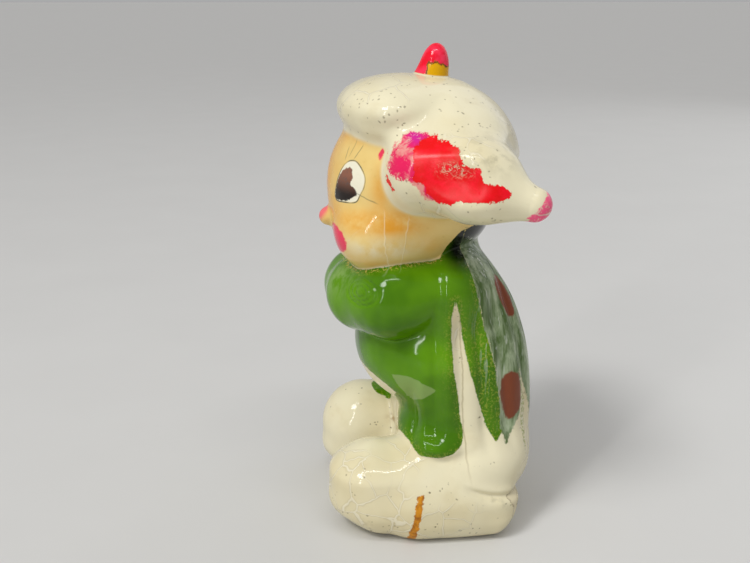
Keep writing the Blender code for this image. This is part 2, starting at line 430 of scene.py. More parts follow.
# Outlines round the head: degrees round it and height. One that runs past -90 degrees meets its mirror image.
EYE = (
    (-67, 62.5), (-65, 65), (-61, 67.9), (-56, 69.3), (-49, 69.6), (-43, 68.7), (-39, 67.3), (-39, 65.7),
    (-42, 64.1), (-45, 62.9), (-55, 62.5),
)
PUPIL = (
    (-67, 62.5), (-64.5, 65.4), (-59.5, 67.8), (-54, 68.5), (-50, 68.1), (-48.5, 67), (-50, 65.8),
    (-45.5, 65), (-44, 64.2), (-48, 63.4), (-56, 62.6),
)
CHEEK = (
    (-79, 55.4), (-76.5, 56.8), (-71, 57.8), (-60, 58.1), (-51, 57.2), (-47.5, 55.4), (-50, 54.1),
    (-58, 53.1), (-70, 52.8), (-76.5, 53.9),
)
MOUTH = ((-102, 52.9), (-87, 53.2), (-80, 54.3), (-78, 55.3), (-82, 55), (-87, 54.3), (-102, 54))
DOT = ((-31.4, 70.9), (-30.4, 71.9), (-28.6, 72.4), (-27.2, 71.8), (-27.4, 70.9), (-29, 70.3))
DASH = ((-22.6, 68.6), (-21, 68.4), (-17.4, 66.4), (-18.6, 66.2), (-21.5, 67.4))

# Outlines round the body: degrees round it and height.
GREEN = (
    (-110, 75), (-110, 30), (-90, 30), (-72, 29.8), (-58, 29), (-47, 27.8), (-40, 26.4), (-48, 24.6),
    (-57, 22.2), (-60, 19.6), (-54, 17.4), (-44, 16.9), (-31, 17.6), (-26, 17.2), (-21, 16.4), (-7, 16.2),
    (1, 17.3), (6, 18.7), (7, 20.9), (5, 23.3), (3.5, 27.5), (0, 33), (-1.5, 39), (-2, 43.6), (-0.5, 46.4),
    (1.5, 44.5), (4, 41), (9, 33), (14, 27.6), (20, 21.8), (24, 18.8), (29, 20.5), (27, 26), (24, 33),
    (20, 39), (14, 46), (10, 52), (8, 75),
)
DARK = (
    (10, 52), (14, 46), (20, 39), (24, 33), (27, 26), (28, 21), (29.5, 18.2), (35, 19.8), (41, 22.5),
    (42, 27), (41, 32), (46, 28), (51, 24), (57, 20), (63, 17.5), (70, 19.5), (76, 24), (81, 30), (87, 36),
    (100, 38), (100, 75), (8, 75),
)
STRIPE = ((41, 32), (45, 27.5), (47.5, 25), (48, 20), (42.5, 14.5), (43, 20), (42, 26))
LOW_SPOT = ((27, 28), (30, 31), (35, 31.8), (41, 30), (42, 26.5), (40.5, 24), (34, 22.4), (29, 25))
HIGH_SPOT = ((31, 46.8), (34, 48.6), (40, 48.2), (45.5, 45.4), (46.5, 42), (42, 41), (36, 43))
BACK_SPOT = ((64, 38), (67, 40.5), (72, 40), (74, 36), (71, 32.5), (66, 33.5))

# Outlines seen from the side: how far back and how high.
ANTENNA_CHIP = (
    (-1.7, 80), (-1.4, 84.5), (-0.8, 85.9), (-0.1, 85.4), (0.5, 86.1), (1.1, 85.3), (1.8, 85.6),
    (2.5, 85), (5, 85.2), (5, 80),
)
RED_FLAKE = (
    (-6.2, 73.3), (-4.5, 74.7), (-2.6, 75), (-2.1, 75.6), (-1.8, 74.8), (0, 74.2), (0.8, 73.5), (1, 72),
    (1.4, 71.2), (2.8, 70.8), (3.9, 71.1), (4, 69.6), (4.6, 68.9), (6.4, 68.5), (8.5, 67.8), (8.8, 67.1),
    (8.3, 66.3), (5.5, 65.6), (3.7, 65.5), (-0.1, 65.5), (-0.6, 65), (-2.5, 64.9), (-3.2, 66),
    (-4.3, 66.2), (-4.5, 67.5), (-6.4, 68.6),
)
PINK_WASH = (
    (-3, 75.2), (-5, 75.6), (-6.8, 75.3), (-8, 74.2), (-9.5, 72.1), (-9.9, 70.1), (-9.3, 68.5), (-7, 68.2),
    (-4.6, 65.8), (-3, 65.4), (-3, 70),
)
# A paler green painted reflection on the left hip.
HIP_REFLECTION = (
    (-8.6, 30.9), (-6.2, 31.3), (-4.1, 30.7), (-2, 29.5), (-0.8, 28.8), (-4, 26.5), (-4.7, 25.1),
    (-5.3, 25.1), (-5.9, 27), (-7.5, 28.8),
)
HEEL_CHIP = (
    (12.2, 8.6), (13.4, 9.1), (14.7, 8.4), (14.2, 6.6), (15, 4.6), (14.4, 2.6), (13.4, 3.6), (13.5, 6.4),
)
RUST_STAIN = (
    (-4.6, 10.4), (-3.6, 10.3), (-4, 6.4), (-4.7, 2.6), (-5.4, -1), (-6.9, -1), (-6.2, 2.4), (-5.2, 7),
)

# Green dragged onto the top of the right foot, an oval seen from above: how far left and how far back.
SMEAR_MIDDLE = (-10, -7.6)
SMEAR_REACH = (2.8, 2.3)


def rounded(outline, between=5):
    """More points along an outline, on a smooth closed curve through the ones it has."""
    here = np.array(outline, float)
    before, after, later = (np.roll(here, shift, 0) for shift in (1, -1, -2))
    points = []
    for t in np.arange(between) / between:
        points.append(
            here
            + 0.5 * t * (after - before)
            + t * t * (before - 2.5 * here + 2 * after - 0.5 * later)
            + 0.5 * t**3 * (later - before + 3 * (here - after))
        )
    return np.stack(points, 1).reshape(-1, 2)


def capped(distances):
    return np.clip(distances, -FAR, FAR)


def edge_distance(chart, outline):
    """Millimetres from each point of a flat chart to a closed outline, below zero inside it."""
    outline = np.array(outline, float)
    result = np.full(len(chart), FAR)
    low, high = outline.min(0) - FAR, outline.max(0) + FAR
    near = ((chart > low) & (chart < high)).all(1)
    points = chart[near]
    best = np.full(len(points), FAR)
    inside = np.zeros(len(points), bool)
    for a, b in zip(outline, np.roll(outline, -1, 0)):
        run = b - a
        offset = points - a
        along = np.clip(offset @ run / (run @ run), 0, 1)
        best = np.minimum(best, np.hypot(*(offset - along[:, None] * run).T))
        if a[1] != b[1]:
            level = (points[:, 1] < a[1]) != (points[:, 1] < b[1])
            inside ^= level & (offset[:, 0] < run[0] * offset[:, 1] / run[1])
    result[near] = np.where(inside, -best, best)
    return result


def blob(chart, middle, reach):
    """1 at the middle of a soft patch and nothing well outside it."""
    off = (chart - np.array(middle)) / np.array(reach)
    return np.exp(-(off**2).sum(1))


def across(chart, start, end):
    """Signed distance to the line through two chart points, and 1 where the point lies between them."""
    run = np.subtract(end, start)
    length = np.hypot(*run)
    offset = chart - np.array(start)
    along = offset @ run / length**2
    side = (offset[:, 0] * run[1] - offset[:, 1] * run[0]) / length
    fade = ramp(along, -0.1, 0.15) * (1 - ramp(along, 0.8, 1.1))
    return capped(side), fade


def face_marks(points, distances):
    """The drawing of the face: distances to painted edges, and soft amounts from 0 to 1."""
    turn = around(points, HEAD_MIDDLE[1])
    degrees = np.stack([turn, points[:, 2]], 1)
    chart = degrees * (DEGREE, 1)
    marks = {}
    for name, outline in (("eye", EYE), ("pupil", PUPIL), ("cheek", CHEEK), ("mouth", MOUTH), ("dot", DOT)):
        marks[name] = edge_distance(chart, rounded(outline) * (DEGREE, 1))
    dot = marks.pop("dot") + np.where(points[:, 0] > 0, 0, FAR)
    marks["mouth"] = np.minimum.reduce([marks["mouth"], marks.pop("cheek"), dot])
    headwear = np.minimum(distances["cap"], distances["ear"])
    face = np.minimum(distances["head"], distances["nose"])
    body = np.minimum.reduce([distances[name] for name in ("torso", "arm", "wing", "leg")])
    marks["face"] = capped(face - np.minimum(headwear, body))
    marks["orange"] = np.clip(
        0.95 * blob(degrees, (-92, 66), (20, 8))
        # along the brim's lower edge: orange spray that also stands in for the shade under the brim
        + 0.8 * blob(degrees, (-62, 74), (22, 1.5))
        + 0.9 * blob(degrees, (-42, 59.6), (15, 1.9))
        + 0.95 * blob(degrees, (-16, 60.2), (17, 2.3))
        + 0.5 * blob(degrees, (-26, 59), (20, 1.5))
        + 0.8 * blob(degrees, (-27, 66), (6, 3.6))
        + 0.4 * blob(degrees, (6, 55), (8, 2))
        + 0.5 * blob(degrees, (-24, 51.6), (20, 1))
        + 0.45 * blob(degrees, (-66, 60), (12, 2.4)),
        0, 1,
    )
    marks["bare_jaw"] = blob(degrees, (-28, 55), (24, 1.8))
    lines = {
        "lash_front": ((-61, 71.8), (-60, 69.6)),
        "lash_middle": ((-54, 73.2), (-57, 70.2)),
        "lash_back": ((-46.5, 72.4), (-51, 70)),
        "eye_tail": ((-44, 64.4), (-29, 63)),
        "crack_front": ((-26, 61.6), (-24, 50.8)),
        "crack_back": ((-10, 61), (-16, 51.4)),
    }
    for name, (start, end) in lines.items():
        start, end = np.multiply(start, (DEGREE, 1)), np.multiply(end, (DEGREE, 1))
        marks[name], marks[name + "_fade"] = across(chart, start, end)
    return marks, chart


def body_marks(points, distances):
    """The jacket, the trousers and the brush strokes down the wings, with painted shade in the nape, a
    painted reflection on the arms and painted glints among the wings' scratches.
    """
    degrees = np.stack([around(points, BODY_MIDDLE_Y), points[:, 2]], 1)
    chart = degrees * (DEGREE, 1)
    x, y, z = points.T
    head = np.minimum.reduce([distances[name] for name in ("head", "nose", "cap", "ear")])
    body = np.minimum.reduce([distances[name] for name in ("torso", "arm", "wing")])
    nape_edge = np.interp(y, (-1, 0, 1.2, 2.6, 3.6, 5.4, 20), (44, 52, 54.9, 56.7, 57.7, 58.2, 60))
    below_collar = np.maximum((head - body) / 1.4, (nape_edge - z) * 0.7)
    marks = {}
    for name, outline in (("green", GREEN), ("dark", DARK), ("stripe", STRIPE)):
        marks[name] = edge_distance(chart, np.array(outline) * (DEGREE, 1))
    for name in ("green", "dark"):
        marks[name] = np.maximum(marks[name], capped(-below_collar))
    spots = [rounded(spot) * (DEGREE, 1) for spot in (LOW_SPOT, HIGH_SPOT, BACK_SPOT)]
    marks["spots"] = np.minimum.reduce([edge_distance(chart, spot) for spot in spots])
    on_foot = (body - distances["leg"]) / 1.4
    marks["green"] = np.maximum(marks["green"], capped(on_foot - 0.5))
    marks["collar"] = capped(below_collar)
    # painted reflection: paler green on the front of the arms
    marks["arm_reflection"] = blob(degrees, (-80, 48), (18, 3.6)) * ramp(np.abs(x), 2, 6)
    # pale hairlines on the wings: scratches, and also painted glints along the streaks
    rubbed = blob(degrees, (22, 53.5), (9, 2.6)) + 0.8 * blob(degrees, (24, 42), (8, 9))
    marks["rubbed"] = np.clip(rubbed + 0.7 * blob(degrees, (38, 30), (9, 7)), 0, 1)
    flecked = blob(degrees, (18, 33), (9, 15)) + 0.5 * blob(degrees, (-3, 37), (4, 8))
    marks["flecked"] = np.clip(flecked, 0, 1)
    groove = np.multiply(((3, 44), (8.5, 13)), (DEGREE, 1))
    marks["groove"], marks["groove_fade"] = across(chart, *groove)
    # painted shade: the recess at the back of the neck, under the head
    marks["nape_shade"] = ramp(y, -1, 3) * ramp(z, 49.5, 53.5) * (1 - ramp(z, 62, 64))
    smear = min(SMEAR_REACH) * (np.linalg.norm((points[:, :2] - SMEAR_MIDDLE) / SMEAR_REACH, axis=1) - 1)
    on_foot_top = (z > 15) & (z < 22)
    marks["green"] = np.minimum(marks["green"], np.where(on_foot_top, smear, FAR))
    return marks


def cold_paint_marks(points, distances, face_chart):
    """The unfired paint on the ears, the nose and the antenna, and a painted highlight where the red is left
    off.
    """
    x, y, z = points.T
    side = np.stack([y, z], 1)
    on_ear = np.abs(x) > 16 + 0.62 * (y + 3.6)  # the ears' outward faces
    red = np.where(on_ear, edge_distance(side, RED_FLAKE), FAR)
    pink = np.where(on_ear, edge_distance(side, rounded(PINK_WASH)), FAR)
    left_only = np.where(x > 0, 0, FAR)
    dash = edge_distance(face_chart, rounded(DASH) * (DEGREE, 1)) + left_only
    ear_tip = np.where((np.abs(x) > 22) & (z > 50), 12.4 + 0.65 * (z - 63.7) - y, FAR)
    nose = np.linalg.norm(points - (0, -19.8, 58.6), axis=1) - 1.6
    return {
        "red": capped(np.minimum(red, dash)),
        "pink": capped(pink),
        "ear_tip": capped(ear_tip),
        "nose_pink": capped(nose),
        "violet": blob(side, (-5.4, 74.9), (1.3, 1.1)) * on_ear,
        # a painted highlight: the red is left off near the flake's middle
        "red_glint": blob(side, (0.2, 70.4), (2.2, 1)) * on_ear,
        "antenna": capped(distances["antenna"] - distances["cap"]),
        "chip": edge_distance(side, ANTENNA_CHIP),
    }


def wear_marks(points):
    """Wear, with painted shade and a painted reflection. The grey shade and dirt and the shoulder scuffs are
    on both sides, and every other mark is in one place.
    """
    x, y, z = points.T
    side = np.stack([y, z], 1)
    outer_left = np.where(x > 13, 0, FAR)
    return {
        "stain": capped(np.maximum(edge_distance(side, RUST_STAIN), 0.5 - z) + outer_left),
        # a painted reflection on the left hip
        "thin": capped(edge_distance(side, HIP_REFLECTION) + outer_left),
        "heel_chip": capped(edge_distance(side, HEEL_CHIP) + outer_left),
        # painted grey shade where the cap meets the ear, and painted shade with dirt at the heel
        "shade_and_dirt": blob(side, (6.5, 72.8), (5, 2.2)) * (np.abs(x) > 10) + 0.8 * blob(side, (10, 8), (2.6, 2)),
        "shoulder_scuff": blob(side, (9.5, 53.3), (3.5, 1.2)) * (np.abs(x) > 8),
        "brown_spot": blob(side, (-6.2, 14.4), (1.1, 0.6)) * (np.abs(x + 2) < 4),
        "pit": np.linalg.norm(points - (20, -9.4, 9.8), axis=1),
    }


def marks_of(points):
    """Every mark's value at the points, by name."""
    distances = part_distances(points.astype(np.float32))
    marks, face_chart = face_marks(points, distances)
    marks.update(body_marks(points, distances))
    marks.update(cold_paint_marks(points, distances, face_chart))
    marks.update(wear_marks(points))
    return marks


# ---------------------------------------------------------------- materials


def linear(code):
    """A web colour such as "#E3DCBC" as the linear colour that a shader takes."""
    parts = (int(code[k : k + 2], 16) / 255 for k in (1, 3, 5))
    return (*(c / 12.92 if c <= 0.04045 else ((c + 0.055) / 1.055) ** 2.4 for c in parts), 1)


class Shader:
    """A material under construction. Most methods add nodes and return the last one's output."""

    def __init__(self, name):
        self.material = bpy.data.materials.new(name)
        self.material.use_nodes = True
        self.tree = self.material.node_tree
        self.surface = self.tree.nodes["Principled BSDF"]
        self.place = self.add("ShaderNodeTexCoord").outputs["Object"]

    def add(self, kind, inputs=(), **settings):
        node = self.tree.nodes.new(kind)
        for setting, value in settings.items():
            setattr(node, setting, value)
        for socket, value in dict(inputs).items():
            self.put(node.inputs[socket], value)
        return node

    def put(self, socket, value):
        if isinstance(value, bpy.types.NodeSocket):
            self.tree.links.new(value, socket)
        elif isinstance(value, str):
            socket.default_value = linear(value)
        else:
            socket.default_value = value

    def give(self, name, value):
        """Sets that input of the finished surface, or links a node's output to it."""
        self.put(self.surface.inputs[name], value)

    def mark(self, name):
        return self.add("ShaderNodeAttribute", attribute_name=name).outputs["Fac"]

    def math(self, operation, a, b=0.0, clamp=False):
        return self.add("ShaderNodeMath", {0: a, 1: b}, operation=operation, use_clamp=clamp).outputs[0]

    def times(self, a, b):
        return self.math("MULTIPLY", a, b)

    def within(self, value, start, end):
        """1 where the value is at or past end, 0 at or before start, smooth between."""
        inputs = {"Value": value, "From Min": start, "From Max": end}
        return self.add("ShaderNodeMapRange", inputs, interpolation_type="SMOOTHSTEP").outputs["Result"]

    def mix(self, amount, a, b):
        return self.add("ShaderNodeMix", {"Factor": amount, 6: a, 7: b}, data_type="RGBA").outputs[2]

    def blend(self, amount, a, b):
        return self.add("ShaderNodeMix", {"Factor": amount, 2: a, 3: b}, data_type="FLOAT").outputs[0]

    def stretched(self, scale):
        return self.add("ShaderNodeMapping", {"Vector": self.place, "Scale": scale}).outputs["Vector"]

    def shaken(self, scale, reach):
        """The place, moved about by noise as far as reach, in metres."""
        shift = self.add("ShaderNodeTexNoise", {"Vector": self.place, "Scale": scale}).outputs["Color"]
        half = (0.5, 0.5, 0.5)
        shift = self.add("ShaderNodeVectorMath", {0: shift, 1: half}, operation="SUBTRACT").outputs[0]
        shift = self.add("ShaderNodeVectorMath", {0: shift, "Scale": 2 * reach}, operation="SCALE").outputs[0]
        return self.add("ShaderNodeVectorMath", {0: self.place, 1: shift}).outputs[0]

    def height(self):
        return self.add("ShaderNodeSeparateXYZ", {0: self.place}).outputs["Z"]

    def noise(self, scale, detail=3.0, roughness=0.55, distortion=0.0, stretch=None):
        """Cloudy noise about 0.5; the scale is in features for each metre."""
        inputs = {"Scale": scale, "Detail": detail, "Roughness": roughness, "Distortion": distortion}
        inputs["Vector"] = self.stretched(stretch) if stretch else self.place
        return self.add("ShaderNodeTexNoise", inputs).outputs["Fac"]

    def cells(self, scale, feature="F1", vector=None):
        inputs = {"Scale": scale, "Vector": vector or self.place}
        return self.add("ShaderNodeTexVoronoi", inputs, feature=feature).outputs["Distance"]

    def bump(self, height, strength, distance, normal=None):
        inputs = {"Height": height, "Strength": strength, "Distance": distance}
        if normal:
            inputs["Normal"] = normal
        return self.add("ShaderNodeBump", inputs).outputs["Normal"]

    def moved(self, mark, noise, amount):
        """The mark's distance, moved up and down by noise as far as amount, in millimetres."""
        value = self.mark(mark)
        if noise is None:
            return value
        shift = self.times(self.math("SUBTRACT", noise, 0.5), 2 * amount)
        return self.math("ADD", value, shift)

    def painted(self, mark, edge, soft, ragged=None, amount=0.0):
        """1 inside a painted area whose edge is moved by ragged noise, amount in millimetres."""
        value = self.moved(mark, ragged, amount)
        return self.within(value, edge + soft, edge - soft)

    def line(self, mark, width, soft, wander=None, amount=0.0):
        """1 on a drawn line of that half width."""
        value = self.moved(mark, wander, amount)
        near = self.within(self.math("ABSOLUTE", value), width + soft, max(width - soft, 0.0))
        return self.times(near, self.mark(mark + "_fade"))


class Coat:
    """What the surface looks like so far, from the clay outwards."""

    def __init__(self, colour, roughness):
        self.colour = colour
        self.roughness = roughness
        self.height = 0.0

    def cover(self, shader, amount, colour, roughness=None, lift=0.0):
        """Puts another layer on, lifted by that many millimetres."""
        self.colour = shader.mix(amount, self.colour, colour)
        if roughness is not None:
            self.roughness = shader.blend(amount, self.roughness, roughness)
        if lift:
            self.height = shader.math("ADD", self.height, shader.times(amount, lift))


def cream_ground(s):
    """Ivory glaze with faint clouds and pinholes, most of them on the cap."""
    clouds = s.within(s.noise(55, 3), 0.35, 0.7)
    coat = Coat(s.mix(clouds, "#E3DBBB", "#D8CCA5"), 0.1)
    coat.cover(s, s.times(s.within(s.noise(210, 4), 0.55, 0.75), 0.25), "#CDBE94")
    high = s.within(s.height(), 0.060, 0.072)
    crowded = s.math("ADD", s.noise(150, 2), s.times(high, 0.09))
    crowded = s.within(crowded, 0.52, 0.58)
    for scale, size, depth in ((430, 0.11, 0.8), (800, 0.2, 0.55)):
        holes = s.within(s.cells(scale, vector=s.shaken(300, 0.001)), size, size / 2)
        coat.cover(s, s.times(s.times(holes, crowded), depth), "#5E5238", 0.5, -0.05)
    return coat


def airbrushed_face(s, coat):
    """A warm tan wash over the face, deepened to orange where it was sprayed, with an orange band under the
    cap's brim that is also painted shade.
    """
    patchy = s.noise(190, 4, 0.6)
    face = s.painted("face", -0.4, 0.75, patchy, 0.6)
    tan = s.mix(s.within(s.noise(120, 3), 0.35, 0.7), "#E7C878", "#E0BC66")
    coat.cover(s, s.times(face, 0.85), tan)
    spray = s.times(s.mark("orange"), s.within(patchy, 0.1, 0.62))
    coat.cover(s, s.times(spray, face), "#DF9A2A")
    thin = s.times(s.mark("bare_jaw"), s.within(s.noise(260, 4), 0.3, 0.6))
    coat.cover(s, s.times(s.times(thin, face), 0.75), "#E4DAB8")


def drawn_eye(s, coat):
    """The white, the two-tone pupil, its outline and the lashes, with a brush's uneven edges."""
    brush = s.noise(900, 3)
    white = s.painted("eye", 0, 0.12, brush, 0.15)
    coat.cover(s, white, "#E9E4CC")
    pupil_colour = s.mix(s.within(s.height(), 0.0635, 0.0675), "#1E1510", "#8A5B48")
    thinned = s.times(s.within(s.noise(800, 4), 0.5, 0.62), 0.35)
    pupil_colour = s.mix(thinned, pupil_colour, "#4A5050")
    coat.cover(s, s.painted("pupil", 0, 0.14, s.noise(1300, 4), 0.45), pupil_colour)
    rim = s.within(s.math("ABSOLUTE", s.math("SUBTRACT", s.mark("eye"), 0.12)), 0.17, 0.05)
    thin = s.blend(s.within(s.noise(350, 2), 0.35, 0.6), 0.35, 0.9)
    coat.cover(s, s.times(rim, thin), "#4C564C")
    for lash, strength in (("lash_front", 0.5), ("lash_middle", 0.4), ("lash_back", 0.6), ("eye_tail", 0.55)):
        coat.cover(s, s.times(s.line(lash, 0.1, 0.1, s.noise(400, 2), 0.25), strength), "#5C6048")


def green_jacket(s, coat):
    """Deep glossy green with gritty yellow along its edges, paler green painted reflections on the hip and
    the arms, and near-black painted shade in the nape.
    """
    drift = s.within(s.noise(75, 3), 0.3, 0.72)
    green = s.mix(drift, "#3F6E00", "#5E9204")
    fine = s.noise(1500, 4, 0.7)
    amount = s.painted("green", 0, 0.1, fine, 0.3)
    coat.cover(s, amount, green, 0.1, 0.05)
    # a paler green painted reflection on the left hip
    thin = s.times(s.painted("thin", 0, 0.1, s.noise(600, 3), 0.3), amount)
    coat.cover(s, s.times(thin, 0.85), "#88A25C")
    streaks = s.within(s.noise(700, 3, 0.6, 0.0, (1, 1, 0.3)), 0.4, 0.65)
    # paler green painted reflection streaked over the front of the arms
    arm_reflection = s.times(s.mark("arm_reflection"), s.times(amount, streaks))
    coat.cover(s, s.times(arm_reflection, 0.7), "#8DAA64")
    grit = s.times(s.within(s.noise(2200, 3, 0.7), 0.5, 0.62), amount)
    rim = s.math("MAXIMUM", s.within(s.mark("green"), -1.5, -0.1), s.mark("flecked"))
    coat.cover(s, s.times(s.times(grit, rim), 0.7), "#97A038", 0.35)
    chin = s.times(s.within(s.mark("collar"), 0.9, 0.3), s.within(s.mark("nape_shade"), 0.4, 0.1))
    coat.cover(s, s.times(grit, chin), "#B7A548", 0.35, 0.05)
    # near-black painted shade in the nape
    coat.cover(s, s.times(s.mark("nape_shade"), amount), "#050B02", 0.08)


def wing_strokes(s, coat):
    """Grey-green strokes over the wings, streaked and worn, with red-brown spots, pale hairlines that are
    scratches and also painted glints, and painted shade at the nape.
    """
    streaks = s.noise(520, 4, 0.65, 0.3, (1, 1, 0.16))
    green = s.mix(s.within(streaks, 0.35, 0.68), "#4C6430", "#A2B08E")
    amount = s.painted("dark", 0, 0.16, s.noise(1200, 4, 0.7), 0.6)
    coat.cover(s, amount, green, 0.14, 0.05)
    high = s.within(s.height(), 0.0535, 0.0565)
    # the same near-black painted shade on the wings' tops at the nape
    coat.cover(s, s.times(s.times(s.mark("nape_shade"), high), amount), "#0A1206", 0.1)
    worn = s.times(s.within(streaks, 0.58, 0.72), s.blend(high, 0.6, 0.06))
    coat.cover(s, s.times(worn, amount), "#B0B89E", 0.4)
    # pale hairlines where the strokes are rubbed: scratches, and also painted glints
    hairs = s.within(s.noise(1500, 2, 0.5, 0.2, (1, 1, 0.07)), 0.6, 0.68)
    rubbed = s.times(s.mark("rubbed"), s.math("MAXIMUM", amount, s.painted("green", 0, 0.1)))
    coat.cover(s, s.times(hairs, rubbed), "#D3D8CC", 0.3)
    scuffed = s.times(s.mark("shoulder_scuff"), s.within(s.noise(450, 4, 0.7), 0.44, 0.56))
    coat.cover(s, s.times(scuffed, 0.7), "#C3CAC0", 0.3)
    coat.cover(s, s.painted("spots", 0, 0.25, s.noise(700, 3), 0.6), "#7C4026", 0.15)
    speckle = s.within(s.noise(1900, 3, 0.7), 0.44, 0.58)
    coat.cover(s, s.times(s.painted("stripe", 0, 0.2), speckle), "#8E9A4C")
    groove = s.line("groove", 0.1, 0.12, s.noise(260, 3), 0.5)
    coat.cover(s, s.times(groove, 0.55), "#9C8C66")


def cold_paint(s, coat):
    """Unfired paint: flaking red over a pink wash, and pink on the cheeks, the nose and the ear tips."""
    coarse, fine = s.noise(420, 5, 0.7), s.noise(2300, 4, 0.75)
    speckled = s.within(s.math("ADD", s.times(s.mark("pink"), -0.14), fine), 0.36, 0.5)
    pink = s.times(s.painted("pink", 0, 0.15, coarse, 1.2), speckled)
    rubbed = s.within(s.noise(380, 3, 0.6, 0.6), 0.6, 0.46)
    pink = s.times(pink, s.blend(rubbed, 0.6, 1.0))
    coat.cover(s, pink, s.mix(s.mark("violet"), "#E2205A", "#CC2490"), 0.16)
    tip = s.times(s.painted("ear_tip", 0, 0.15, coarse, 1.6), s.within(fine, 0.34, 0.46))
    coat.cover(s, tip, "#F25A84", 0.16)
    coat.cover(s, s.painted("mouth", 0, 0.2, coarse, 0.8), "#E23A58", 0.14)
    coat.cover(s, s.times(s.painted("nose_pink", 0, 0.4), 0.8), "#E84A72", 0.14)
    flaked = s.noise(620, 6, 0.75)
    red = s.painted("red", 0, 0.04, flaked, 1.3)
    # a painted highlight: the red is left off in a small patch, showing the glaze below
    red_glint_amount = s.times(s.mark("red_glint"), s.within(s.noise(1100, 4, 0.7, 2.0), 0.5, 0.6))
    red = s.times(red, s.math("SUBTRACT", 1.0, red_glint_amount, clamp=True))
    coat.cover(s, red, s.mix(s.within(coarse, 0.4, 0.7), "#E40006", "#F60A26"), 0.28, 0.14)


def antenna_paint(s, coat):
    """Red over yellow on the little antenna, flaked off low at its back."""
    on = s.within(s.mark("antenna"), -0.1, -0.3)
    coat.cover(s, on, "#DCA400", 0.16, 0.05)
    ragged = s.noise(600, 4, 0.7)
    edge = s.times(s.painted("chip", 0.12, 0.1, ragged, 0.8), on)
    red = s.math("SUBTRACT", on, edge, clamp=True)
    rim = s.math("SUBTRACT", edge, s.painted("chip", -0.12, 0.1, ragged, 0.8), clamp=True)
    coat.cover(s, s.times(rim, on), "#6A3A10", 0.4)
    coat.cover(s, red, s.mix(s.within(s.noise(300, 3), 0.4, 0.65), "#E80A28", "#F43858"), 0.14, 0.12)


def age(s, coat):
    """Crazing, two long cracks, a rust stain, a brown spot, painted grey shade with some dirt, a pit and a
    chipped heel.
    """
    lines = s.cells(170, "DISTANCE_TO_EDGE", s.shaken(260, 0.0011))
    unpainted = 1.0
    for mark in ("green", "dark", "mouth", "eye", "red", "pink", "antenna"):
        unpainted = s.times(unpainted, s.within(s.mark(mark), 0.2, 0.7))
    on_face = s.within(s.mark("face"), 0.5, -0.5)
    unpainted = s.times(unpainted, s.blend(on_face, 1.0, 0.1))
    patches = s.times(s.within(s.noise(60, 2), 0.46, 0.56), unpainted)
    shade = s.times(s.within(lines, 0.05, 0.02), patches)
    coat.cover(s, s.times(shade, 0.3), "#B0A27C")
    crazing = s.times(s.within(lines, 0.026, 0.008), patches)
    coat.cover(s, s.times(crazing, 0.45), "#F4EFDC", None, 0.13)
    for crack in ("crack_front", "crack_back"):
        ridge = s.line(crack, 0.1, 0.1, s.noise(150, 3), 1.6)
        coat.cover(s, s.times(ridge, 0.4), "#F4E9C4", None, 0.16)
    rust = s.mix(s.within(s.noise(700, 4), 0.35, 0.65), "#8A4A08", "#D08A1E")
    coat.cover(s, s.painted("stain", 0, 0.1, s.noise(900, 4), 0.7), rust, 0.45)
    brown = s.times(s.mark("brown_spot"), s.within(s.noise(900, 3), 0.35, 0.6))
    coat.cover(s, s.times(brown, 0.8), "#94702E", 0.4)
    # painted grey shade in the valley where the cap meets the ears, and shade with dirt at the heels
    shade_and_dirt = s.times(s.mark("shade_and_dirt"), s.within(s.noise(380, 4), 0.45, 0.65))
    coat.cover(s, s.times(shade_and_dirt, 0.55), "#9A9478")
    coat.cover(s, s.within(s.mark("pit"), 0.5, 0.35), "#3E342A", 0.6, -0.1)
    broken = s.noise(600, 4, 0.7)
    chip = s.painted("heel_chip", 0, 0.08, broken, 0.8)
    coat.cover(s, chip, "#D6CBAA", 0.5, -0.2)
    edge = s.math("SUBTRACT", s.painted("heel_chip", 0.12, 0.08, broken, 0.8), chip, clamp=True)
    coat.cover(s, s.times(edge, 0.7), "#7A6440", 0.5)


def painted_glaze(name):
    """Glossy fired glaze with everything that was painted, sprayed and worn on it."""
    s = Shader(name)
    coat = cream_ground(s)
    for layer in (airbrushed_face, drawn_eye, green_jacket, wing_strokes, cold_paint, antenna_paint, age):
        layer(s, coat)
    s.give("Base Color", coat.colour)
    s.give("Roughness", coat.roughness)
    s.give("Specular IOR Level", 0.24)
    waves = s.bump(s.noise(160, 2), 0.35, 0.0004)
    s.give("Normal", s.bump(coat.height, 0.6, MM, waves))
    return s.material


def cork():
    """Pressed cork: warm brown grains with dark pores."""
    s = Shader("cork")
    grains = s.cells(900)
    colour = s.mix(s.within(s.noise(700, 4), 0.3, 0.7), "#B98A5A", "#D2A878")
    colour = s.mix(s.within(grains, 0.55, 0.8), colour, "#8A5C36")
    pores = s.within(s.cells(420, vector=s.stretched((1, 1, 1.8))), 0.16, 0.1)
    s.give("Base Color", s.mix(pores, colour, "#3C2616"))
    s.give("Roughness", 0.85)
    s.give("Normal", s.bump(s.math("SUBTRACT", s.noise(1400, 4), pores), 0.5, 0.0003))
    return s.material


# ---------------------------------------------------------------- the pieces


def make_casting():
    """One glazed shell for each ceramic part of the CAD model, all cut from one surface."""
    corners, normals, faces = surface_of(casting, LOW, HIGH, STEP)
    marks = marks_of(corners)
    part, side = part_of_faces(corners, faces)
    materials = {slot: painted_glaze(slot) for slot in sorted({slot for _, slot, _ in PARTS.values()})}
    for name, (_, slot, paired) in PARTS.items():
        for sign, prefix in ((1, "left_"), (-1, "right_")) if paired else ((0, ""),):
            chosen = faces[(part == name) & (side == sign)]
            piece = shell(f"glazed_{prefix}{name}", corners, normals, chosen, marks)
            piece.data.materials.append(materials[slot])
            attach(piece, "figurine")
            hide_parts(prefix + name)


